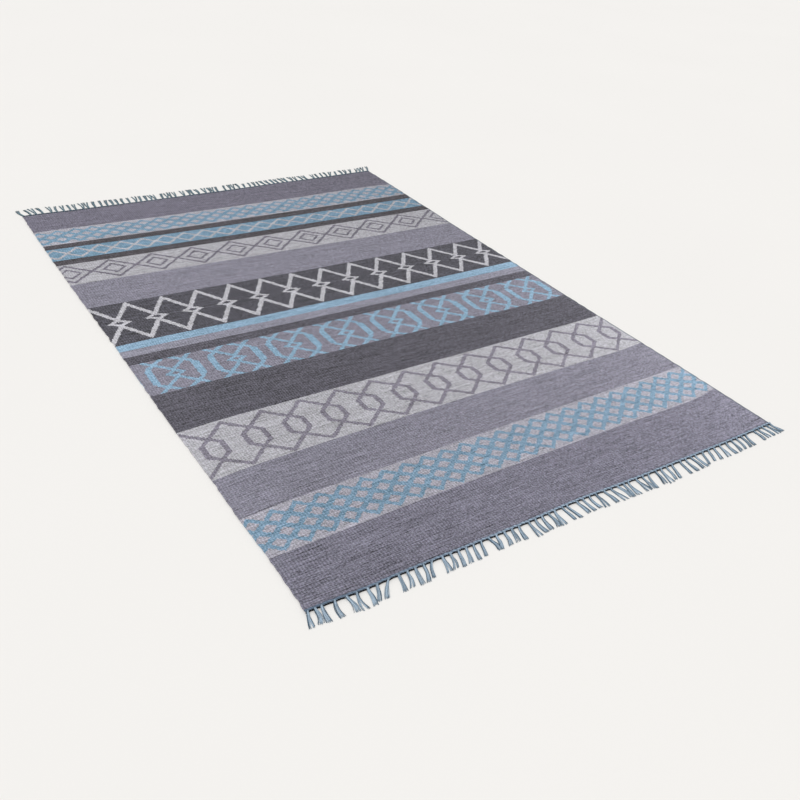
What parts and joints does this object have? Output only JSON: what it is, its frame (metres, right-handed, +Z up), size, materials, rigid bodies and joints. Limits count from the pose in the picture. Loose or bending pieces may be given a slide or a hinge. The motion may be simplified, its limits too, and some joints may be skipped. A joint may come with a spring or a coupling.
{
  "type": "kilim rug",
  "caption": "Flat-woven kilim rug with cross bands of geometric motifs and a braided, tasselled fringe at each end, lying flat on the floor.",
  "frame": {"origin": "on the floor, under the middle of the woven panel, which is also the middle of the bounding box's base to within 8 mm", "axes": "+Z up, +Y along the rug from the near end to the far end, +X across it to the right"},
  "size_m": [1.6413, 2.4489, 0.0052],
  "materials": {
    "woven_yarn": "matt weft-faced flat weave of dyed wool-like yarn in mauve grey, charcoal, light grey, greige and light steel blue",
    "fringe_yarn": "matt blue-grey warp yarn, braided along the end and left as loose tassels"
  },
  "bodies": {
    "root": {"woven_panel": "woven_yarn", "fringe_near": "fringe_yarn", "fringe_far": "fringe_yarn"}
  },
  "joints": []
}
